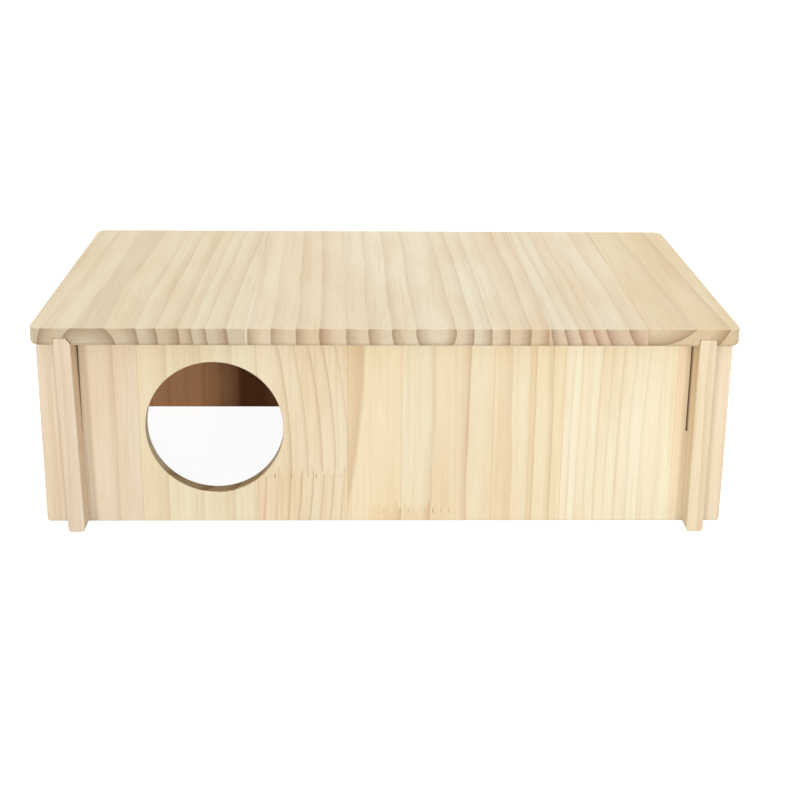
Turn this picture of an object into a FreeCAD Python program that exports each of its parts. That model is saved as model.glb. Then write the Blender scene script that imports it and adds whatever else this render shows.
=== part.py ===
import FreeCAD, Part
import math
import os
import Sketcher

# A bottomless wooden house for a hamster. Four boards stand on the floor and slot into
# each other at the corners, a fifth board divides the inside into two chambers, and a
# loose lid lies on top. +X runs along the house, +Y from the front to the back, +Z up.
# The origin is the middle of the footprint, on the floor. All sizes are millimetres.

SIZES = {
    # the boards
    "board": (7.4, "thickness of the upright boards"),
    "panel_length": (305.0, "length of the front and the back panel"),
    "panel_height": (86.4, "height of the front and the back panel"),
    "panel_spacing": (165.0, "outer face of the front panel to outer face of the back panel"),
    "side_length": (190.0, "length of a side panel, front to back"),
    "side_rise": (3.2, "how far the side panels stand above the front panel"),
    "lid_length": (305.4, "length of the lid"),
    "lid_depth": (190.0, "depth of the lid, front to back"),
    "lid_thickness": (8.0, "thickness of the lid"),
    # the corner joints
    "ear": (9.9, "what is left of a long panel outside its slot"),
    "slot_width": (8.4, "width of a corner slot"),
    "slot_floor": (43.5, "height of the floor of a slot in a long panel"),
    "lap_play": (0.4, "free height between the two slots of a corner"),
    "snug": (0.1, "gap on the side where a board bears on its slot"),
    # the lid
    "lid_corner": (5.0, "corner radius of the lid, seen from above"),
    "groove_width": (7.9, "width of a groove under the lid"),
    "groove_depth": (3.35, "depth of a groove under the lid"),
    "groove_centre": (138.7, "middle of a groove, from the middle of the lid"),
    # the entrance
    "hole_width": (61.0, "diameter of the entrance"),
    "hole_across": (76.0, "middle of the entrance, left of the middle of the panel"),
    "hole_up": (44.8, "middle of the entrance above the floor"),
    # the divider
    "divider_across": (14.0, "middle of the divider, left of the middle of the house"),
    "divider_groove": (2.5, "depth of the grooves that hold the divider"),
    "divider_play": (0.6, "free width and free length of the divider in its grooves"),
    "divider_drop": (0.5, "how far the divider stays below the lid"),
    "door_width": (50.0, "width of the doorway in the divider"),
    "door_height": (58.0, "height of the doorway, its round top included"),
    "door_back": (28.0, "middle of the doorway, behind the middle of the house"),
    # the eased edges
    "corner_ease": (1.4, "radius of the corners of a panel's outline"),
    "arris": (0.6, "radius along the edges of a panel"),
    "foot_arris": (1.6, "radius along the lower edges of a side panel"),
    "lid_arris": (0.5, "radius along the upper edges of the lid"),
    "lid_lower_arris": (2.0, "radius along the lower edges of the lid"),
    "rim_arris": (0.5, "radius of the rim of the entrance"),
    # the front top corner of the left panel, cut off obliquely
    "cut_across": (1.9, "width of the cut-off corner"),
    "cut_down": (2.5, "height of the cut-off corner"),
    "cut_in": (2.0, "how far the cut goes in from the panel's front end"),
}

# The left panel leans outwards as far as the play in its slots lets it.
LEAN = "atan( ( slot_width - board - 2 * snug ) / ( panel_height - slot_floor ) )"

PLANES = {"along": "XZ_Plane", "across": "YZ_Plane", "level": "XY_Plane"}
NEAR = 1e-4

doc = FreeCAD.newDocument("hamster_house")
sheet = doc.addObject("Spreadsheet::Sheet", "Sizes")
for row, (alias, (value, meaning)) in enumerate(SIZES.items(), start=1):
    sheet.set(f"A{row}", meaning)
    sheet.set(f"B{row}", str(value))
    sheet.setAlias(f"B{row}", alias)
doc.recompute()


def size(alias):
    """A driving dimension, in millimetres."""
    return float(getattr(sheet, alias))


def bind(target, prop, formula):
    """Ties a property to the sheet. A word of the formula that is a size becomes a cell."""
    words = formula.replace("(", "( ").replace(")", " )").split()
    target.setExpression(prop, " ".join(f"Sizes.{w}" if w in SIZES else w for w in words))


def new_board(label):
    """An empty body for one board."""
    body = doc.addObject("PartDesign::Body", label)
    body.Label = label
    return body


def new_sketch(body, name, plane):
    """A sketch on one of the body's own origin planes."""
    role = PLANES[plane]
    support = next(f for f in body.Origin.OriginFeatures if f.Role == role)
    sketch = body.newObject("Sketcher::SketchObject", f"{body.Label}_{name}")
    sketch.AttachmentSupport = [(support, "")]
    sketch.MapMode = "FlatFace"
    return sketch


def hold(sketch, kind, *where):
    """A constraint with no number, such as Horizontal."""
    sketch.addConstraint(Sketcher.Constraint(kind, *where))


def measure(sketch, kind, where, drawn, name, formula):
    """A named dimension of a sketch: the number it is drawn with, then its formula."""
    index = sketch.addConstraint(Sketcher.Constraint(kind, *where, float(drawn)))
    sketch.renameConstraint(index, name)
    bind(sketch, f"Constraints.{name}", formula)


def rectangle(sketch, left, low, wide, high, tag=""):
    """A rectangle whose left, low edges and whose width and height are formulas."""
    first = sketch.GeometryCount
    x, y, w, h = 10 * first + 1, 1, 5, 6
    corners = [(x, y), (x + w, y), (x + w, y + h), (x, y + h)]
    points = [FreeCAD.Vector(*c, 0) for c in corners]
    for a, b in zip(points, points[1:] + points[:1]):
        sketch.addGeometry(Part.LineSegment(a, b), False)
    for side in range(4):
        hold(sketch, "Coincident", first + side, 2, first + (side + 1) % 4, 1)
        hold(sketch, "Vertical" if side % 2 else "Horizontal", first + side)
    measure(sketch, "DistanceX", (first, 1, first, 2), w, f"wide{tag}", wide)
    measure(sketch, "DistanceY", (first + 1, 1, first + 1, 2), h, f"high{tag}", high)
    measure(sketch, "DistanceX", (-1, 1, first, 1), x, f"left{tag}", left)
    measure(sketch, "DistanceY", (-1, 1, first, 1), y, f"low{tag}", low)


def pad(body, sketch, thickness, reversed_):
    """The board itself: the sketch, thickened to one side of its plane."""
    feature = body.newObject("PartDesign::Pad", f"{body.Label}_pad")
    feature.Profile = sketch
    feature.Reversed = reversed_
    bind(feature, "Length", thickness)
    sketch.Visibility = False
    doc.recompute()
    return feature


def pocket(body, sketch, reversed_, depth=None):
    """A cut from the sketch's plane into the board, right through or to a depth."""
    before = body.Shape.Volume
    feature = body.newObject("PartDesign::Pocket", f"{sketch.Label}_cut")
    feature.Profile = sketch
    feature.Reversed = reversed_
    if depth is None:
        feature.Type = "ThroughAll"
    else:
        bind(feature, "Length", depth)
    doc.recompute()
    if body.Shape.Volume > before - NEAR:
        raise RuntimeError(f"{feature.Label} cuts nothing")
    return feature


def ease(body, name, radius, wanted):
    """Rounds every edge of the board for which wanted(edge) is true."""
    base = body.Tip
    edges = [f"Edge{n}" for n, e in enumerate(base.Shape.Edges, start=1) if wanted(e)]
    if not edges:
        raise RuntimeError(f"{body.Label}: no edge to ease for {name}")
    feature = body.newObject("PartDesign::Fillet", f"{body.Label}_{name}")
    feature.Base = (base, edges)
    bind(feature, "Radius", radius)
    doc.recompute()
    return feature


def runs(edge, axis):
    """True if an edge is straight and lies along the axis 0, 1 or 2."""
    ends = [v.Point for v in edge.Vertexes]
    if len(ends) != 2 or edge.Curve.TypeId != "Part::GeomLine":
        return False
    return all(abs(ends[0][a] - ends[1][a]) < NEAR for a in range(3) if a != axis)


def in_plane(axis, place):
    """A test for edges that lie wholly in the plane across the axis at that place."""

    def lies(edge):
        start, end = edge.FirstParameter, edge.LastParameter
        points = [edge.valueAt(start), edge.valueAt((start + end) / 2), edge.valueAt(end)]
        return all(abs(point[axis] - place) < NEAR for point in points)

    return lies


def on_faces(body, axis):
    """A test for edges that lie wholly in one of the board's two faces across the axis."""
    box = body.Shape.optimalBoundingBox(True, False)
    in_low = in_plane(axis, (box.XMin, box.YMin, box.ZMin)[axis])
    in_high = in_plane(axis, (box.XMax, box.YMax, box.ZMax)[axis])
    return lambda edge: in_low(edge) or in_high(edge)


def is_circle(edge, width):
    """True for an edge that is a circle of that diameter."""
    return edge.Curve.TypeId == "Part::GeomCircle" and abs(2 * edge.Curve.Radius - width) < NEAR


def eased_slab(body, axis):
    """Rounds the corners of a plain board across the axis, then its edges all round."""
    ease(body, "corners", "corner_ease", lambda e: runs(e, axis))
    ease(body, "arrises", "arris", on_faces(body, axis))


# ---- the front and the back panel: two long boards with a slot at each end ----------------


def long_panel(label, into_house):
    """A long board, modelled with its outer face on the body's XZ plane, which looks to -Y."""
    body = new_board(label)
    outline = new_sketch(body, "outline", "along")
    rectangle(outline, "-1 * panel_length / 2", "0", "panel_length", "panel_height")
    pad(body, outline, "board", into_house > 0)
    eased_slab(body, 1)
    slots = new_sketch(body, "slots", "along")
    for tag, left in (("_left", "ear - panel_length / 2"),
                      ("_right", "panel_length / 2 - ear - slot_width")):
        rectangle(slots, left, "slot_floor", "slot_width", "panel_height", tag)
    pocket(body, slots, into_house < 0)
    divider_housing(body, into_house)
    bind(body, "Placement.Base.y", f"{-into_house} * panel_spacing / 2")
    return body


def divider_housing(body, into_house):
    """The shallow upright groove in a long panel's inner face, open at both ends."""
    groove = new_sketch(body, "groove", "level")
    start = "board - divider_groove" if into_house > 0 else "-2 * board"
    rectangle(groove, "-1 * divider_across - ( board + divider_play ) / 2", start,
              "board + divider_play", "board + divider_groove")
    pocket(body, groove, True, "2 * panel_height")


front_panel = long_panel("front_panel", 1)
entrance = new_sketch(front_panel, "entrance", "along")
entrance.addGeometry(Part.Circle(FreeCAD.Vector(-70, 40, 0), FreeCAD.Vector(0, 0, 1), 30), False)
measure(entrance, "Diameter", (0,), 60, "across", "hole_width")
measure(entrance, "DistanceX", (0, 3, -1, 1), 70, "from_middle", "hole_across")
measure(entrance, "DistanceY", (-1, 1, 0, 3), 40, "above_floor", "hole_up")
pocket(front_panel, entrance, False)
ease(front_panel, "rim", "rim_arris", lambda e: is_circle(e, size("hole_width")))

back_panel = long_panel("back_panel", -1)


# ---- the side panels: two short boards whose slots open downwards -------------------------


def side_panel(label, into_house):
    """A side board, modelled with its outer face on the body's YZ plane."""
    body = new_board(label)
    outline = new_sketch(body, "outline", "across")
    rectangle(outline, "-1 * side_length / 2", "0", "side_length",
              "panel_height + side_rise")
    pad(body, outline, "board", into_house < 0)
    ease_side(body)
    slots = new_sketch(body, "slots", "across")
    near = "-1 * panel_spacing / 2 - snug"
    far = "panel_spacing / 2 + snug - slot_width"
    for tag, left in (("_front", near), ("_back", far)):
        rectangle(slots, left, "-1 * board", "slot_width", "slot_floor + lap_play + board", tag)
    pocket(body, slots, into_house > 0)
    return body


def ease_side(body):
    """Rounds a side board: its foot well, its other edges a little, its top ends not at all."""
    middle = size("panel_height") / 2

    def foot(edge):
        return runs(edge, 1) and edge.BoundBox.ZMax < middle

    ease(body, "foot", "foot_arris", foot)
    in_face = on_faces(body, 0)
    ease(body, "arrises", "arris", lambda e: in_face(e) and not foot(e))


def cut_front_corner(body):
    """Cuts off the inner top corner of a side board's front end, as a small triangle."""
    sketch = new_sketch(body, "corner", "along")
    bind(sketch, "AttachmentOffset.Base.z", "side_length / 2")
    right, top, back, down = 5, 80, 2, 3
    corners = [(right - back, top), (right, top - down), (right, top)]
    points = [FreeCAD.Vector(*c, 0) for c in corners]
    for a, b in zip(points, points[1:] + points[:1]):
        sketch.addGeometry(Part.LineSegment(a, b), False)
    for side in range(3):
        hold(sketch, "Coincident", side, 2, (side + 1) % 3, 1)
    hold(sketch, "Vertical", 1)
    hold(sketch, "Horizontal", 2)
    measure(sketch, "DistanceX", (0, 1, 0, 2), back, "across", "cut_across")
    measure(sketch, "DistanceY", (0, 2, 0, 1), down, "down", "cut_down")
    measure(sketch, "DistanceX", (-1, 1, 1, 2), right, "right", "board")
    measure(sketch, "DistanceY", (-1, 1, 1, 2), top, "top", "panel_height + side_rise")
    pocket(body, sketch, False, "cut_in")


def lean_outwards(body):
    """Tips the left panel over its rounded outer foot until its slots stop it."""
    body.Placement.Rotation = FreeCAD.Rotation(FreeCAD.Vector(0, 1, 0), -1)
    bind(body, "Placement.Rotation.Angle", f"-1 * {LEAN}")
    foot = f"foot_arris * ( 1 - sin( {LEAN} ) - cos( {LEAN} ) )"
    bind(body, "Placement.Base.z", foot)
    bind(body, "Placement.Base.x", "ear + snug - panel_length / 2"
         f" + ( panel_height - {foot} ) * tan( {LEAN} )")


left_side_panel = side_panel("left_side_panel", 1)
cut_front_corner(left_side_panel)
lean_outwards(left_side_panel)
right_side_panel = side_panel("right_side_panel", -1)
bind(right_side_panel, "Placement.Base.x", "panel_length / 2 - ear - snug")


# ---- the divider: a board across the house with a round-topped doorway --------------------

divider_panel = new_board("divider_panel")
outline = new_sketch(divider_panel, "outline", "across")
divider_length = "panel_spacing - 2 * board + 2 * divider_groove - divider_play"
rectangle(outline, f"-1 * ( {divider_length} ) / 2", "0", divider_length,
          "panel_height - divider_drop")
pad(divider_panel, outline, "board", False)
eased_slab(divider_panel, 0)
doorway = new_sketch(divider_panel, "doorway", "across")
left, middle, right, spring, below = 5, 25, 45, 30, -10
lintel = Part.Circle(FreeCAD.Vector(middle, spring, 0), FreeCAD.Vector(0, 0, 1), right - middle)
doorway.addGeometry(Part.ArcOfCircle(lintel, 0, math.pi), False)
corners = [(left, spring), (left, below), (right, below), (right, spring)]
points = [FreeCAD.Vector(*c, 0) for c in corners]
for a, b in zip(points, points[1:]):
    doorway.addGeometry(Part.LineSegment(a, b), False)
hold(doorway, "Tangent", 0, 2, 1, 1)
hold(doorway, "Coincident", 1, 2, 2, 1)
hold(doorway, "Coincident", 2, 2, 3, 1)
hold(doorway, "Tangent", 3, 2, 0, 1)
hold(doorway, "Vertical", 1)
hold(doorway, "Horizontal", 2)
hold(doorway, "Vertical", 3)
measure(doorway, "DistanceX", (2, 1, 2, 2), right - left, "wide", "door_width")
measure(doorway, "DistanceX", (-1, 1, 0, 3), middle, "behind_middle", "door_back")
measure(doorway, "DistanceY", (-1, 1, 0, 3), spring, "spring", "door_height - door_width / 2")
measure(doorway, "DistanceY", (2, 1, -1, 1), -below, "below", "board")
pocket(divider_panel, doorway, True)
bind(divider_panel, "Placement.Base.x", "-1 * divider_across - board / 2")


# ---- the lid: a loose board with two grooves that drop over the side panels ---------------

lid = new_board("lid")
outline = new_sketch(lid, "outline", "level")
rectangle(outline, "-1 * lid_length / 2", "-1 * lid_depth / 2", "lid_length", "lid_depth")
pad(lid, outline, "lid_thickness", False)
ease(lid, "corners", "lid_corner", lambda e: runs(e, 2))
ease(lid, "upper_edges", "lid_arris", in_plane(2, size("lid_thickness")))
ease(lid, "lower_edges", "lid_lower_arris", in_plane(2, 0))
grooves = new_sketch(lid, "grooves", "level")
for tag, middle_of in (("_left", "-1 * groove_centre"), ("_right", "groove_centre")):
    rectangle(grooves, f"{middle_of} - groove_width / 2", "-1 * lid_depth", "groove_width",
              "2 * lid_depth", tag)
pocket(lid, grooves, True, "groove_depth")
bind(lid, "Placement.Base.z", "panel_height")

doc.recompute()

# ---- check every object, then write one file for each board -------------------------------

boards = [front_panel, back_panel, left_side_panel, right_side_panel, divider_panel, lid]
for thing in doc.Objects:
    if {"Invalid", "Error"} & set(thing.State):
        raise RuntimeError(f"{thing.Label} failed: {thing.State}")
    if thing.TypeId == "Sketcher::SketchObject" and not thing.FullyConstrained:
        raise RuntimeError(f"{thing.Label} is not fully constrained")
for board in boards:
    if board.Shape.isNull() or not board.Shape.isValid() or len(board.Shape.Solids) != 1:
        raise RuntimeError(f"{board.Label} is not one valid solid")

os.makedirs("parts", exist_ok=True)
for board in boards:
    board.Shape.exportStep(f"parts/{board.Label}.step")
    box = board.Shape.optimalBoundingBox(True, False)
    print(f"{board.Label:18s} {box.XLength:7.2f} x {box.YLength:7.2f} x {box.ZLength:6.2f} mm,"
          f" from ({box.XMin:.2f}, {box.YMin:.2f}, {box.ZMin:.2f}),"
          f" {board.Shape.Volume / 1000:.1f} cm3")
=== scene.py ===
# %% [markdown]
# # A pine hamster house, in wood that has grown
#
# The house is a flat kit: two long panels, two side panels and a divider slot into each other, and
# a loose lid lies on top. Every board is glued together from narrow strips of pine (staves). The
# construction comes from the packed frame and keeps its shape here. What this lesson adds is the
# wood itself, a floor, soft light and a camera.
#
# A picture of wood could be wrapped around each board, but then the grain on a board's face would
# not meet the grain on its edge. This lesson describes the tree instead: growth rings around a
# pith, cut through by the board. Every face, edge, slot and hole then shows the right cut of the
# same rings.

import math
from typing import NamedTuple

import bpy
from mathutils import Matrix, Vector


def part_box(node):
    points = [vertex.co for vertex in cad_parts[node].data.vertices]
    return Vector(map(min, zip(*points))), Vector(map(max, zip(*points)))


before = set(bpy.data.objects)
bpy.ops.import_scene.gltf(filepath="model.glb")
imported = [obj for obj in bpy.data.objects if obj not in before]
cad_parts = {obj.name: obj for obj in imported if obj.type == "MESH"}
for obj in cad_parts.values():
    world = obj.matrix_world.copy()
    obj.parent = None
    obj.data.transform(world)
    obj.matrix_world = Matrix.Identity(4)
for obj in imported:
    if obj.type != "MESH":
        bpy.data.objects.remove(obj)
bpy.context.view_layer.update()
scene = bpy.context.scene
print("boards:", ", ".join(sorted(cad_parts)))

# %% [markdown]
# ## Where the camera stands
#
# The house is looked at from above its lid and a little left of its middle, with a longish lens,
# so that its upright edges stay nearly parallel. A camera could be aimed with a tracking
# constraint, but three plain turns say it more exactly: how far it looks down, how far to the
# right, and how far the body is tilted around its own axis.

# %% Camera
LENS = 69.1
SENSOR = 36.0
CAMERA_PLACE = Vector((-0.01208, -0.72514, 0.27807))
LOOKS_DOWN = math.radians(18.895)
LOOKS_RIGHT = math.radians(1.631)
CAMERA_TILT = math.radians(0.593)

camera = bpy.data.objects.new("camera", bpy.data.cameras.new("camera"))
camera.data.lens = LENS
camera.data.sensor_width = SENSOR
camera.matrix_world = (
    Matrix.Translation(CAMERA_PLACE)
    @ Matrix.Rotation(-LOOKS_RIGHT, 4, "Z")
    @ Matrix.Rotation(math.radians(90) - LOOKS_DOWN, 4, "X")
    @ Matrix.Rotation(CAMERA_TILT, 4, "Z")
)
scene.collection.objects.link(camera)
scene.camera = camera
print("camera stands", [round(c, 3) for c in CAMERA_PLACE], "m from the middle of the footprint")

# %% [markdown]
# ## A workbench for nodes
#
# A material in Blender is a net of nodes. Placing and linking them one at a time hides the idea
# behind the wiring, so a small bench does it. A `Wire` is a value on its way through the net, and
# ordinary arithmetic on wires adds the nodes for it: `a * b + c` is two Math nodes.

# %% Wires
class Wire:
    """A value on its way through a net of nodes."""

    def __init__(self, bench, socket):
        self.bench = bench
        self.socket = socket

    def math(self, operation, *others):
        return self.bench.math(operation, self, *others)

    def __add__(self, other):
        return self.math("ADD", other)

    def __radd__(self, other):
        return self.bench.math("ADD", other, self)

    def __sub__(self, other):
        return self.math("SUBTRACT", other)

    def __rsub__(self, other):
        return self.bench.math("SUBTRACT", other, self)

    def __mul__(self, other):
        return self.math("MULTIPLY", other)

    def __truediv__(self, other):
        return self.math("DIVIDE", other)

    def __gt__(self, other):
        return self.math("GREATER_THAN", other)

    def __lt__(self, other):
        return self.math("LESS_THAN", other)


print("wires can be added, subtracted, multiplied, divided and compared")

# %% The bench
class Bench:
    """Adds nodes to one net and links them."""

    def __init__(self, net):
        self.nodes = net.nodes
        self.links = net.links

    def plug(self, socket, value):
        """Links a wire to a socket, or sets the socket to a plain value."""
        if isinstance(value, Wire):
            self.links.new(value.socket, socket)
        else:
            socket.default_value = value

    def add(self, kind, *values, **settings):
        """A new node, with values plugged into its sockets in their order."""
        node = self.nodes.new(kind)
        for name, setting in settings.items():
            setattr(node, name, setting)
        for socket, value in zip(node.inputs, values):
            self.plug(socket, value)
        return node

    def wire(self, node, output=0):
        """The wire from one of a node's outputs, given by its number or its name."""
        return Wire(self, node.outputs[output])

    def math(self, operation, *values):
        return self.wire(self.add("ShaderNodeMath", *values, operation=operation))

    def vector(self, operation, *values):
        return self.wire(self.add("ShaderNodeVectorMath", *values, operation=operation))

    def join(self, x, y, z):
        return self.wire(self.add("ShaderNodeCombineXYZ", x, y, z))

    def split(self, vector):
        apart = self.add("ShaderNodeSeparateXYZ", vector)
        return [Wire(self, socket) for socket in apart.outputs]


print("the bench can", ", ".join(tool for tool in vars(Bench) if not tool.startswith("_")))

# %% [markdown]
# ## Colours
#
# Colours are easiest to choose as they look on a screen, from 0 to 255. Shaders reckon with
# amounts of light instead, so each colour is turned into one along the curve that screens use.
# Typed straight into a shader, the same numbers would give a pale and chalky pine.

# %% Screen colours
def colour(red, green, blue):
    """A colour given as 0-255 screen values, as the linear values that shaders use."""
    channels = [c / 255 for c in (red, green, blue)]
    return tuple(c / 12.92 if c <= 0.04045 else ((c + 0.055) / 1.055) ** 2.4 for c in channels)


PALE = colour(240, 225, 192)
print("pale pine is", [round(c, 2) for c in PALE], "to a shader")

# %% [markdown]
# ## A strip of pine
#
# A pine adds one ring a year: wide pale early wood, then a darker line of late wood with a crisp
# outer edge. In a log the rings are circles around the pith. A stave is a straight strip sawn out
# of that log, so all it needs is where the pith lay, how wide the rings were, and how the log
# leaned against the saw. The rings then run out of the top face and over the edge by themselves.
# Where the years were uneven, a stave lists the radius at which each of them ended.
#
# The other way would be to bend a striped texture with noise until it looks like grain. It gives
# stripes on every side of the board, and no end grain.

# %% What a stave is
END_GRAIN = colour(237, 226, 220)
SAPWOOD = (1.0, 1.0, 1.0)


class Stave(NamedTuple):
    """One glued strip of a board, in mm across, into and along the board."""

    start: float  # where across the board it begins
    pith: tuple  # the middle of its tree, across and into the board
    ring: float = 8.0  # width of one year's growth
    line: float = 0.0  # a place across the board's face where a year ends
    tint: tuple = PALE
    lean: float = 0.0  # how far the pith moves across for each mm along the grain
    bow: float = 0.0  # and for each mm squared, where the trunk was bent
    lopsided: float = 0.0  # above 0, rings grew wider on the low side of the pith
    late: float = 0.45  # share of a ring that darkens towards its edge
    depth: float = 0.6  # how dark the late wood gets
    end: tuple = END_GRAIN  # what its end grain does to the tint
    heart_and_shade: tuple = SAPWOOD  # and what its heartwood does, which is also painted shade inside the house, on a board that has some
    years: tuple = ()  # the radius at the end of each year, where the years were uneven


def ring_shift(stave, face):
    """What the count of even rings needs, so that a year ends at the stave's line on that face."""
    aside = stave.line - stave.pith[0]
    radius = math.hypot(aside, face - stave.pith[1])
    return -(radius**2 / (radius - stave.lopsided * aside)) / stave.ring


print("a stave is described by", ", ".join(Stave._fields))

# %% [markdown]
# ## How the boards lie
#
# A stave knows only three directions: across the staves, into the board and along the grain. Each
# board says which axes of the house these are. Turning every board flat, painting it and turning
# it back would do the same, but here the boards never leave their places.

# %% The boards
MM = 0.001
X, Y, Z = 0, 1, 2


def faces(node, thin_axis):
    """Where a board's two faces lie along its thin axis, in mm."""
    low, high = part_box(node)
    return low[thin_axis] / MM, high[thin_axis] / MM


def half_thickness(node, thin_axis):
    low, high = faces(node, thin_axis)
    return (high - low) / 2


class Board(NamedTuple):
    """How a board lies: the axis across its staves, into its thickness, and along its grain."""

    node: str
    across: int
    into: int
    along: int
    face: float  # the side, in mm from the middle plane, on which ring lines are given


HALF_BOARD = half_thickness("divider_panel", X)
HALF_LID = half_thickness("lid", Z)
FRONT = Board("front_panel", across=X, into=Y, along=Z, face=-HALF_BOARD)
BACK = Board("back_panel", across=X, into=Y, along=Z, face=HALF_BOARD)
LEFT = Board("left_side_panel", across=Y, into=X, along=Z, face=-HALF_BOARD)
RIGHT = Board("right_side_panel", across=Y, into=X, along=Z, face=HALF_BOARD)
DIVIDER = Board("divider_panel", across=Y, into=X, along=Z, face=-HALF_BOARD)
LID = Board("lid", across=X, into=Z, along=Y, face=HALF_LID)
print(f"the uprights are {2 * HALF_BOARD:.1f} mm thick and the lid {2 * HALF_LID:.1f} mm")

# %% Where a point lies in its board
END_STARTS, END_IS_FULL = 0.5, 0.9  # how squarely a face cuts the fibres, from 0 to 1


class Place(NamedTuple):
    """Where a point of the wood lies in its board, in mm, each a wire."""

    across: Wire
    into: Wire
    along: Wire


def ease(bench, value, start, end):
    """0 up to start and 1 from end on, with a soft slope between them."""
    slope = bench.add("ShaderNodeMapRange", value, start, end, interpolation_type="SMOOTHSTEP")
    return bench.wire(slope)


def place_in(bench, board):
    """Where a point lies in its board, and whether its face cuts across the fibres."""
    coordinates = bench.add("ShaderNodeTexCoord")
    in_mm = bench.vector("MULTIPLY", bench.wire(coordinates, "Object"), (1 / MM,) * 3)
    point = bench.split(in_mm)
    middle_plane = sum(faces(board.node, board.into)) / 2
    place = Place(point[board.across], point[board.into] - middle_plane, point[board.along])
    facing = bench.split(bench.wire(coordinates, "Normal"))
    end = ease(bench, facing[board.along].math("ABSOLUTE"), END_STARTS, END_IS_FULL)
    return place, end


for board in (FRONT, BACK, LEFT, RIGHT, DIVIDER, LID):
    low, high = faces(board.node, board.into)
    print(f"{board.node} lies between {low:.1f} and {high:.1f} mm")

# %% [markdown]
# ## From staves to a board
#
# Each board is one material. For any point in the wood it first finds the stave that the point
# lies in, then that stave's numbers, and only then works out one ring pattern. A pattern of its
# own for every stave would look the same and take several times as many nodes.

# %% Which stave a point lies in
SEED_STEP = 1.7  # sets the random patterns of neighbouring trees apart


def of_its_stave(bench, past_seams, values):
    """Three numbers of the stave that a point lies in, as one vector.

    The first stave's numbers come in whole, and each seam that the point lies past adds the
    change to the next stave's.
    """
    result = values[0]
    for past, before, after in zip(past_seams, values, values[1:]):
        change = tuple(new - old for old, new in zip(before, after))
        result = bench.vector("MULTIPLY_ADD", past, change, result)
    return result


class Tree(NamedTuple):
    """The tree that a point's stave came from, each number a wire."""

    pith_across: Wire
    pith_into: Wire
    ring: Wire
    lean: Wire
    bow: Wire
    lopsided: Wire
    late: Wire
    depth: Wire
    seed: Wire  # where its random patterns begin
    shift: Wire  # where its count of rings begins


def tree_at(bench, past_seams, staves, face):
    """The tree of the stave that a point lies in."""

    def numbers(values):
        return bench.split(of_its_stave(bench, past_seams, values))

    return Tree(
        *numbers([(*s.pith, s.ring) for s in staves]),
        *numbers([(s.lean, s.bow, s.lopsided) for s in staves]),
        *numbers([(s.late, s.depth, SEED_STEP * i) for i, s in enumerate(staves)]),
        numbers([(ring_shift(s, face), 0, 0) for s in staves])[0],
    )


print("a tree is described by", ", ".join(Tree._fields))

# %% [markdown]
# ## The rings
#
# No trunk is a true cylinder, so the distance to the pith is disturbed twice: by a slow wander,
# which gives the long curves, and by a small wobble, which makes the lines tremble. Both are
# stretched along the grain. The ring number is that distance over the ring width; its fraction
# says how late in the year the wood grew, and its whole part picks that year's own darkness.

# %% Random patterns that follow the grain
class Pattern(NamedTuple):
    """The size of random patches in the wood, in mm."""

    width: float  # across the grain
    length: float  # along the grain
    detail: float  # how much finer pattern the patches carry


def noise(bench, pattern, place, seed=0.0, output=0):
    """Random values that change softly through the wood: one, or three with output Color."""
    spot = bench.join(
        place.across / pattern.width,
        place.into / pattern.width + seed,
        place.along / pattern.length,
    )
    node = bench.add("ShaderNodeTexNoise", spot)
    bench.plug(node.inputs["Scale"], 1.0)
    bench.plug(node.inputs["Detail"], pattern.detail)
    return bench.wire(node, output)


WANDER = Pattern(width=50, length=120, detail=1.0)
WOBBLE = Pattern(width=6, length=26, detail=2.0)
print("rings wander over", WANDER.length, "mm and wobble over", WOBBLE.length, "mm of length")

# %% Distance to the pith
WANDER_REACH = 2.2
WOBBLE_REACH = 0.4


def pith_distance(bench, place, tree):
    """How far a point lies from the pith of a trunk that leans, bows and is uneven, in mm."""
    slow = bench.split(noise(bench, WANDER, place, tree.seed, "Color"))
    quick = bench.split(noise(bench, WOBBLE, place, tree.seed, "Color"))
    aside = place.across - tree.pith_across - place.along * (tree.bow * place.along + tree.lean)
    aside = aside + (slow[0] - 0.5) * (2 * WANDER_REACH) + (quick[0] - 0.5) * (2 * WOBBLE_REACH)
    below = place.into - tree.pith_into + (slow[1] - 0.5) * (2 * WANDER_REACH)
    radius = (aside * aside + below * below).math("SQRT")
    return radius * radius / (radius - tree.lopsided * aside)


print("a ring strays up to", WANDER_REACH + WOBBLE_REACH, "mm from a true circle")

# %% Counting the years
def grow(bench, value, start, end):
    """0 up to start and 1 from end on, with a straight slope between them."""
    return bench.wire(bench.add("ShaderNodeMapRange", value, start, end))


def listed_years(bench, radius, years):
    """The number of rings inside a radius, for a tree whose years are listed."""
    return sum(grow(bench, radius, inner, outer) for inner, outer in zip((0.0, *years), years))


def ring_number(bench, radius, tree, staves, past_seams):
    """The number of rings inside a point: evenly spaced, unless its stave lists its years."""
    number = radius / tree.ring + tree.shift
    for stave, begun, over in zip(staves, (1.0, *past_seams), (*past_seams, 0.0)):
        if stave.years:
            listed = listed_years(bench, radius, stave.years)
            number = number + (listed - number) * begun * (1 - over)
    return number


print("rings are", Stave._field_defaults["ring"], "mm wide, unless their stave says otherwise")

# %% Late wood
YEAR_END = 0.97
LAST_WEEKS = 0.3
SLOW_SHARE = 0.7
FAINTEST_YEAR = 0.7
YEAR_SPREAD = 0.6


def late_wood(bench, number, late):
    """How late in its year a ring's wood grew: it darkens slowly, then fast, and ends crisply."""
    season = number.math("FRACT")
    slowly = ease(bench, season, YEAR_END - late, YEAR_END)
    at_last = ease(bench, season, YEAR_END - late * LAST_WEEKS, YEAR_END)
    winter = ease(bench, season, YEAR_END, 1.0)
    return (slowly * SLOW_SHARE + at_last * (1 - SLOW_SHARE)) * (1 - winter)


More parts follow.
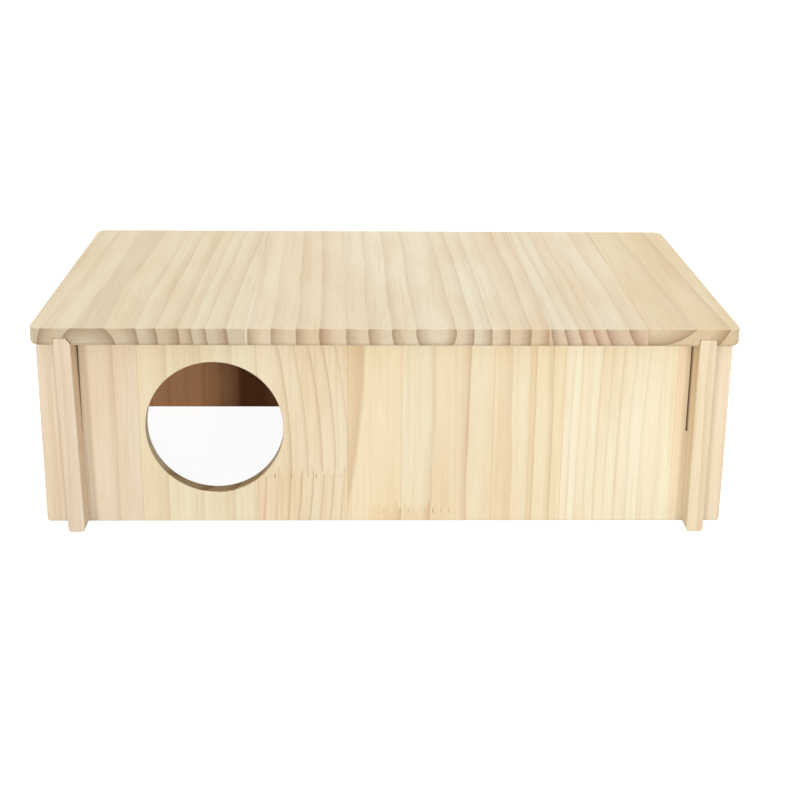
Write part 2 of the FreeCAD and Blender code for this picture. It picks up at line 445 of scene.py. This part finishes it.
def one_year(bench, number, tree):
    """How dark and how warm a year came out, drawn anew for each year of each tree."""
    draw = bench.add("ShaderNodeTexWhiteNoise", noise_dimensions="1D")
    bench.plug(draw.inputs["W"], number.math("FLOOR") + tree.seed)
    darkness, warmth, _ = bench.split(bench.wire(draw, "Color"))
    return tree.depth * (darkness * YEAR_SPREAD + FAINTEST_YEAR), warmth


print("late wood ends at", YEAR_END, "of a year")

# %% [markdown]
# ## Finger joints
#
# Short strips are joined end to end before they are glued side by side. A cutter mills a comb of
# fingers into both ends, and the two combs are pressed into each other. On the board's face the
# joint shows as a row of small pale wedges, with a dark slit where a finger doesn't quite reach.
# Below the joint another tree begins, a little pinker, so neither rings nor colour meet.

# %% Finger joints
FINGER_PITCH = 3.7
FINGER_LENGTH = 6.0
SLIT_WIDTH = 0.3
SLIT_LENGTH = 2.2
SLIT_RISE = 1.0  # from the joint's height to the middle of the slits
OTHER_TREE = 31.0  # how far aside of its real place the wood below a joint was grown
OTHER_TREE_TINT = colour(254, 250, 245)


class Joint(NamedTuple):
    """A finger joint across one or two staves, in mm across and along the board."""

    start: float
    end: float
    height: float


def finger_joint(bench, place, joint):
    """Whether a point lies below the joint, and whether it lies in one of its slits."""
    from_slit = bench.math("PINGPONG", place.across - joint.start, FINGER_PITCH / 2)
    within = (place.across > joint.start) * (place.across < joint.end)
    fingers = from_slit * (2 * FINGER_LENGTH / FINGER_PITCH) + joint.height
    below = within * (place.along < fingers)
    draw = bench.add("ShaderNodeTexWhiteNoise", noise_dimensions="1D")
    bench.plug(draw.inputs["W"], (place.across / FINGER_PITCH).math("ROUND"))
    depth = bench.wire(draw)
    in_row = place.along.math("COMPARE", joint.height + SLIT_RISE, SLIT_LENGTH / 2)
    return below, (from_slit < SLIT_WIDTH) * in_row * within * depth * depth


def finger_joints(bench, place, joints):
    """Whether a point lies below any of a board's joints, and whether it lies in any slit."""
    cuts = [finger_joint(bench, place, joint) for joint in joints]
    return sum(below for below, _ in cuts), sum(slit for _, slit in cuts)


print("fingers are", FINGER_LENGTH, "mm long, one every", FINGER_PITCH, "mm")

# %% [markdown]
# ## Fibres, pores and glue
#
# Close up, sanded pine shows finer things than rings. Its colour is mottled in soft patches.
# Fibres run along the grain as faint streaks, the finest a few tenths of a millimetre wide.
# Resin canals, cut open, are short darker dashes. Each of these is a random pattern that stains
# the wood wherever its value is high.
#
# Where two staves meet there is a hairline of glue. Across the ends of the fibres the wood drinks
# light, so end grain is darker than the faces, and its late wood darker still.

# %% Stains
STAINED, STAIN, RESULT = 6, 7, 2  # where a Mix node keeps its two colours and their mix


def stain(bench, wood, share, tint):
    """Wood that has taken up a share of a stain, which darkens what is there."""
    node = bench.add("ShaderNodeMix", share, data_type="RGBA", blend_type="MULTIPLY")
    bench.plug(node.inputs[STAINED], wood)
    bench.plug(node.inputs[STAIN], tint if isinstance(tint, Wire) else (*tint, 1))
    return bench.wire(node, RESULT)


class Marking(NamedTuple):
    """A fine pattern that stains the wood."""

    pattern: Pattern
    faint: float  # the random value from which it shows
    full: float  # and from which it shows most
    share: float  # how much of the stain the wood then takes up
    tint: tuple


FIBRE_TINT = colour(240, 229, 216)
MOTTLE = Marking(Pattern(width=16, length=70, detail=3.0),
                 faint=0.35, full=0.7, share=1.0, tint=colour(251, 246, 240))
FIBRE = Marking(Pattern(width=0.45, length=22, detail=2.0),
                faint=0.4, full=0.75, share=0.25, tint=FIBRE_TINT)
STREAK = Marking(Pattern(width=1.6, length=60, detail=2.0),
                 faint=0.45, full=0.75, share=0.35, tint=FIBRE_TINT)
CANAL = Marking(Pattern(width=0.3, length=3.2, detail=0.0),
                faint=0.72, full=0.84, share=0.25, tint=colour(222, 198, 172))
for name, marking in (("mottle", MOTTLE), ("fibre", FIBRE), ("streak", STREAK), ("canal", CANAL)):
    print(f"{name}: {marking.pattern.width} x {marking.pattern.length} mm")

# %% [markdown]
# ## Heartwood and painted shade
#
# The core of a pine is brown heartwood, and the rest is pale sapwood. A stave sawn along their
# border is brown on one face and pale on the other. Where that brown face lies inside the house,
# the brown is also painted shade for the dim inside. The border could be a ring, but one depth
# into the board says it more simply: the wood on its low side is brown, and the border wavers a
# little. A stave of sapwood alone stays pale on both faces.

# %% Heartwood and painted shade
HEART_AND_SHADE_BORDER = 0.5
HEART_AND_SHADE_WANDER = 2.0


def heartwood_and_painted_shade(bench, wood, place, depth, mottle, tint):
    """Browns the wood on the low side of a depth, in mm from the board's middle plane."""
    # the brown is heartwood, and painted shade where the face lies inside the house
    above_border = place.into - depth + (mottle - 0.5) * HEART_AND_SHADE_WANDER
    heart_and_shade = ease(bench, above_border / HEART_AND_SHADE_BORDER, 1.0, -1.0)
    return stain(bench, wood, heart_and_shade, tint)


print("the border of the heartwood wavers by", HEART_AND_SHADE_WANDER / 2, "mm either way")

# %% [markdown]
# ## A sanded surface
#
# Sanding leaves pine silky, not shiny. The fibres stay a little rough, the hard late wood takes a
# finer polish and stands up by a hundredth of a millimetre or two, and the canals are tiny dips.
# A relief so low is left to a Bump node, which shades the surface and leaves its shape alone.

# %% Sanding
ROUGHNESS = 0.56
FIBRE_ROUGHNESS = 0.12
LATE_POLISH = 0.06
GLOSS = 0.25
RELIEF_HEIGHT = 0.1
RELIEF_STRENGTH = 0.3
LATE_RELIEF = 0.5
FIBRE_RELIEF = 0.5
CANAL_RELIEF = 0.3


def sand(bench, shader, late, fibre, canal):
    """Gives the wood the sheen and the trace of relief that sanding leaves."""
    roughness = fibre * FIBRE_ROUGHNESS - late * LATE_POLISH + ROUGHNESS
    bench.plug(shader.inputs["Roughness"], roughness)
    bench.plug(shader.inputs["Specular IOR Level"], GLOSS)
    relief = bench.add("ShaderNodeBump")
    bench.plug(relief.inputs["Strength"], RELIEF_STRENGTH)
    bench.plug(relief.inputs["Distance"], RELIEF_HEIGHT * MM)
    height = late * LATE_RELIEF + fibre * FIBRE_RELIEF - canal * CANAL_RELIEF
    bench.plug(relief.inputs["Height"], height)
    bench.plug(shader.inputs["Normal"], bench.wire(relief))


late_height = RELIEF_HEIGHT * RELIEF_STRENGTH * LATE_RELIEF
print(f"late wood stands up to {late_height:.3f} mm proud")

# %% [markdown]
# ## A whole board
#
# Now a board can be put together: where a point lies in it, which tree that wood came from, how
# late in its year it grew, and what all the stains add up to. Stains multiply, so their order
# doesn't matter, and any of them can be taken out to see what it does.

# %% A whole board of pine
LATE_WOOD = colour(226, 212, 202)
WARM_YEAR = colour(254, 247, 241)
GLUE_LINE = colour(242, 231, 218)
END_LATE_WOOD = colour(214, 205, 199)
SLIT = colour(214, 194, 172)
GLUE_WIDTH = 0.16


def new_finish(name):
    """A material and the bench to build it on."""
    finish = bpy.data.materials.new(name)
    finish.use_nodes = True
    return finish, Bench(finish.node_tree)


def pine(board, staves, joints=(), heart_and_shade_depth=None):
    """Gives a board its own solid pine, glued from the given staves."""
    finish, bench = new_finish(board.node + "_pine")
    place, end = place_in(bench, board)
    past_seams = [place.across > stave.start for stave in staves[1:]]
    glue = sum(place.across.math("COMPARE", stave.start, GLUE_WIDTH) for stave in staves[1:])
    below, slit = finger_joints(bench, place, joints)
    in_tree = place._replace(across=place.across + below * OTHER_TREE)

    tree = tree_at(bench, past_seams, staves, board.face)
    radius = pith_distance(bench, in_tree, tree)
    number = ring_number(bench, radius, tree, staves, past_seams)
    late = late_wood(bench, number, tree.late)
    depth, warmth = one_year(bench, number, tree)
    mottle = noise(bench, MOTTLE.pattern, place)
    fibre = noise(bench, FIBRE.pattern, place)
    canal = noise(bench, CANAL.pattern, place)
    streak = noise(bench, STREAK.pattern, in_tree)

    tint = of_its_stave(bench, past_seams, [s.tint for s in staves])
    tint = stain(bench, tint, below, OTHER_TREE_TINT)
    # heartwood brown on the board's low side; on the back panel it is also painted shade of the dim
    # inside
    if heart_and_shade_depth is not None:
        brown = of_its_stave(bench, past_seams, [s.heart_and_shade for s in staves])
        tint = heartwood_and_painted_shade(bench, tint, place, heart_and_shade_depth, mottle, brown)
    wood = stain(bench, tint, late * depth, LATE_WOOD)
    wood = stain(bench, wood, warmth, WARM_YEAR)
    for mark, value in ((MOTTLE, mottle), (FIBRE, fibre), (STREAK, streak), (CANAL, canal)):
        strength = ease(bench, value, mark.faint, mark.full) * mark.share
        wood = stain(bench, wood, strength, mark.tint)
    wood = stain(bench, wood, glue, GLUE_LINE)
    wood = stain(bench, wood, end, of_its_stave(bench, past_seams, [s.end for s in staves]))
    wood = stain(bench, wood, end * late, END_LATE_WOOD)
    wood = stain(bench, wood, slit, SLIT)

    shader = bench.nodes["Principled BSDF"]
    bench.plug(shader.inputs["Base Color"], wood)
    sand(bench, shader, late, fibre, canal)
    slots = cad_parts[board.node].data.materials
    slots.clear()
    slots.append(finish)
    print(f"{board.node}: {len(staves)} staves, {len(bench.nodes)} nodes")

# %% [markdown]
# ## The front panel, stave by stave
#
# The front panel is the face of the house, so its staves are set out with the most care: a pinkish
# one at the left, a quiet one around the entrance, one with strong rings that curve down beside
# it, a broad band of late wood, and calm creamy ones to the right. Staves drawn at random would
# save the list, and lose the curve and the band by which this board is known.

# %% Front panel
# end grain of the two staves around the entrance, darkened further as painted shade on the
# entrance's walls
END_GRAIN_AND_PAINTED_SHADE = colour(220, 204, 186)
pine(FRONT, [
    Stave(-152.5, pith=(-230, 30), ring=13, line=-146, tint=colour(239, 227, 204),
          late=0.3, depth=0.5),
    Stave(-109, pith=(-150, 40), ring=12, line=-96, tint=colour(242, 231, 200),
          late=0.5, depth=0.3, end=END_GRAIN_AND_PAINTED_SHADE),
    Stave(-57, pith=(-62, 30), ring=4.3, line=-36.7, tint=colour(244, 233, 205),
          lean=0.111, bow=-0.00185, late=0.3, depth=0.8, end=END_GRAIN_AND_PAINTED_SHADE),
    Stave(-17, pith=(-60, 20), ring=60, line=-17.5, tint=colour(248, 233, 198),
          lean=0.255, bow=-0.0017, late=0.25, depth=0.9),
    Stave(7, pith=(-40, 40), ring=12.8, line=22, tint=colour(247, 237, 207),
          late=0.3, depth=0.6),
    Stave(48, pith=(-10, 40), ring=9, line=57, tint=colour(250, 240, 209),
          late=0.9, depth=0.3),
    Stave(64, pith=(10, 40), ring=6, line=67.5, tint=colour(249, 237, 202),
          late=0.5, depth=0.5),
    Stave(79, pith=(140, 33), ring=3.4, line=98, tint=colour(252, 244, 215),
          lean=0.02, late=0.4, depth=0.4),
    Stave(129, pith=(100, 40), ring=9, line=140, tint=colour(250, 238, 211),
          late=0.6, depth=0.25),
], joints=[Joint(-57, -17, 20.9), Joint(-8, 31, 4.0)])

# %% [markdown]
# ## The lid
#
# On the lid the grain runs from front to back, so its front edge is all end grain and shows how
# each stave was sawn. Its rings stand as arches over a pith just below the board, as long slants
# under one well above it, and almost upright to the side of it. The years of these trees were
# uneven. One ring width and some noise would give uneven years as well, but here they can be
# counted along the edge, so each stave lists its own.

# %% Lid
OAT = colour(240, 230, 203)
pine(LID, [
    Stave(-152.7, pith=(-125, -6), tint=colour(236, 226, 197), lean=0.03, late=0.7, depth=0.4,
          end=colour(228, 223, 221), years=(11.9, 21.7, 29.8, 39.2, 44.7, 50.9, 59.9)),
    Stave(-61, pith=(20, 1.5), tint=OAT, lean=-0.014, lopsided=0.1, late=0.7, depth=0.4,
          end=colour(243, 237, 234), years=(8.9, 17.7, 26.7, 35.5, 46.0, 55.0, 64.5, 73.2)),
    Stave(69.5, pith=(137, 15), tint=OAT, lean=-0.013, late=0.7, depth=0.4,
          end=colour(238, 225, 221), years=(27.6, 36.6, 45.9, 51.1, 57.0, 62.9, 68.6)),
    Stave(112.5, pith=(114, 19), tint=colour(237, 224, 190), lean=-0.03, late=0.6, depth=0.4,
          end=colour(244, 239, 238), years=(11.0, 22.9, 34.8, 46.0)),
])

# %% [markdown]
# ## The back panel
#
# The back panel is the board that the entrance looks onto. The two staves behind the entrance
# were sawn at the border of the heartwood, so they are brown inside the house and pale outside.
# Their brown is also painted shade for the dim inside, and the second is darker still, a painted
# shadow.
# Two materials, one for each face, would give the same colours, but the slots and edges between
# the faces would then have to belong to one or the other.

# %% Back panel
HONEY = colour(240, 222, 184)
PINK = colour(236, 215, 189)
ROSE = colour(238, 214, 180)
# brown of the inner face: heartwood colour, and painted shade of the dim inside of the house
HEARTWOOD_AND_PAINTED_SHADE = colour(248, 205, 183)
# darker still: a painted shadow on the inner face, behind the right part of the entrance
DARK_HEARTWOOD_AND_PAINTED_SHADOW = colour(194, 142, 108)
pine(BACK, [
    Stave(-152.5, pith=(-120, 28), ring=7, line=-145, tint=PINK, depth=0.5),
    Stave(-132, pith=(-190, 25), ring=9, line=-140, tint=HONEY, depth=0.5, heart_and_shade=HEARTWOOD_AND_PAINTED_SHADE),
    Stave(-77.5, pith=(-20, 30), ring=8, line=-40, tint=PALE, depth=0.7, heart_and_shade=DARK_HEARTWOOD_AND_PAINTED_SHADOW),
    Stave(-12, pith=(90, -20), ring=6, line=60, tint=ROSE),
    Stave(104, pith=(40, 30), ring=9, line=130, tint=PINK),
], heart_and_shade_depth=0.5)

# %% [markdown]
# ## The side panels and the divider
#
# These are short boards of two or three staves, upright like the long panels. One material could
# serve all three, but then the same rings would show three times.

# %% Side panels and divider
CREAM = colour(248, 235, 205)
pine(LEFT, [
    Stave(-95, pith=(-130, 20), ring=8, line=-60, tint=colour(239, 223, 200), depth=0.4),
    Stave(-18, pith=(30, -15), ring=6, line=10, tint=PALE),
    Stave(52, pith=(20, 30), ring=9, line=80, tint=HONEY),
])
pine(RIGHT, [
    Stave(-95, pith=(-60, 25), ring=7, line=-80, tint=CREAM),
    Stave(-40, pith=(-90, -20), ring=9, line=-10, tint=PALE),
    Stave(44, pith=(70, 22), ring=5, line=60, tint=PINK),
])
pine(DIVIDER, [
    Stave(-78, pith=(-100, 20), ring=8, line=-40, tint=HONEY),
    Stave(6, pith=(50, 25), ring=6, line=30, tint=PALE),
])

# %% [markdown]
# ## Floor and room
#
# The house stands in a white room with no visible corner. Lamps bright enough to burn a grey floor
# to white would wash out the pine as well. Instead the floor and the room are white only where
# they are looked at, directly or in a reflection, and the light on the wood stays at a plain
# level. The floor keeps a share of its real shade, so the house still has a soft shadow.

# %% White where it is looked at
def grey(level):
    """A grey from 0 for black to 1 for white, as a colour socket takes it."""
    return (level, level, level, 1)


def looked_at(bench):
    """1 for a ray that looks at something, directly, in a gloss or through glass, and else 0."""
    paths = bench.add("ShaderNodeLightPath")
    kinds = ("Is Camera Ray", "Is Glossy Ray", "Is Transmission Ray")
    camera_ray, glossy_ray, glass_ray = [bench.wire(paths, kind) for kind in kinds]
    return camera_ray.math("MAXIMUM", glossy_ray).math("MAXIMUM", glass_ray)


def light_and_show(bench, light, show, output):
    """Lights the house with one shader and lets another be looked at."""
    choice = bench.add("ShaderNodeMixShader", looked_at(bench), bench.wire(light), bench.wire(show))
    bench.links.new(choice.outputs[0], bench.nodes[output].inputs["Surface"])


print("white in a colour socket is", grey(1))

# %% Floor
FLOOR_SIZE = 8.0
FLOOR_GREY = 0.4
FLOOR_ROUGHNESS = 0.9
FLOOR_GLOW = 0.94
FLOOR_SHADE = 0.28

bpy.ops.mesh.primitive_plane_add(size=FLOOR_SIZE)
floor = bpy.context.object
floor.name = "floor"
white_floor, bench = new_finish("white_floor")
paint = bench.nodes["Principled BSDF"]
bench.plug(paint.inputs["Base Color"], grey(FLOOR_GREY))
bench.plug(paint.inputs["Roughness"], FLOOR_ROUGHNESS)
shade = bench.add("ShaderNodeBsdfDiffuse", grey(FLOOR_SHADE))
glow = bench.add("ShaderNodeEmission", grey(1), FLOOR_GLOW)
shown = bench.add("ShaderNodeAddShader", bench.wire(shade), bench.wire(glow))
light_and_show(bench, paint, shown, "Material Output")
floor.data.materials.append(white_floor)
print("floor of", FLOOR_SIZE, "m")

# %% Room
ROOM_LIGHT = 0.68
BACKDROP_GLOW = 1.0

room = bpy.data.worlds.new("white_room")
room.use_nodes = True
scene.world = room
bench = Bench(room.node_tree)
daylight = bench.nodes["Background"]
bench.plug(daylight.inputs["Color"], grey(1))
bench.plug(daylight.inputs["Strength"], ROOM_LIGHT)
backdrop = bench.add("ShaderNodeBackground", grey(1), BACKDROP_GLOW)
light_and_show(bench, daylight, backdrop, "World Output")
print("the room lights the house at", ROOM_LIGHT, "and looks white")

# %% [markdown]
# ## Soft lamps
#
# The room alone would light the house evenly from all sides and leave it flat. Two square lamps
# stand in front, one on either side, and give the side panels' ends their shadows on the front. A
# third one, high up behind, lights the lid and the back. Small lamps would draw those shadows with
# hard edges, so all three are large.

# %% Lamps
def softbox(name, place, target, size, power):
    """A square lamp of a given size that faces a point."""
    lamp = bpy.data.lights.new(name, "AREA")
    lamp.size = size
    lamp.energy = power
    body = bpy.data.objects.new(name, lamp)
    body.location = place
    body.rotation_euler = (Vector(target) - Vector(place)).to_track_quat("-Z", "Y").to_euler()
    scene.collection.objects.link(body)
    print(f"{name}: {size} m square, {power} W")


MIDDLE = (0, 0, 0.05)
softbox("left_softbox", (-2.1, -6.0, 1.25), MIDDLE, size=0.85, power=96)
softbox("right_softbox", (1.46, -6.0, 1.25), MIDDLE, size=0.8, power=93)
softbox("back_softbox", (0.0, 2.2, 3.0), MIDDLE, size=1.6, power=33)

# %% [markdown]
# ## The end
#
# The Standard view shows colours as they were written, where a filmic one would turn the white
# room grey.

# %% Standard colours, and the end
scene.view_settings.view_transform = "Standard"
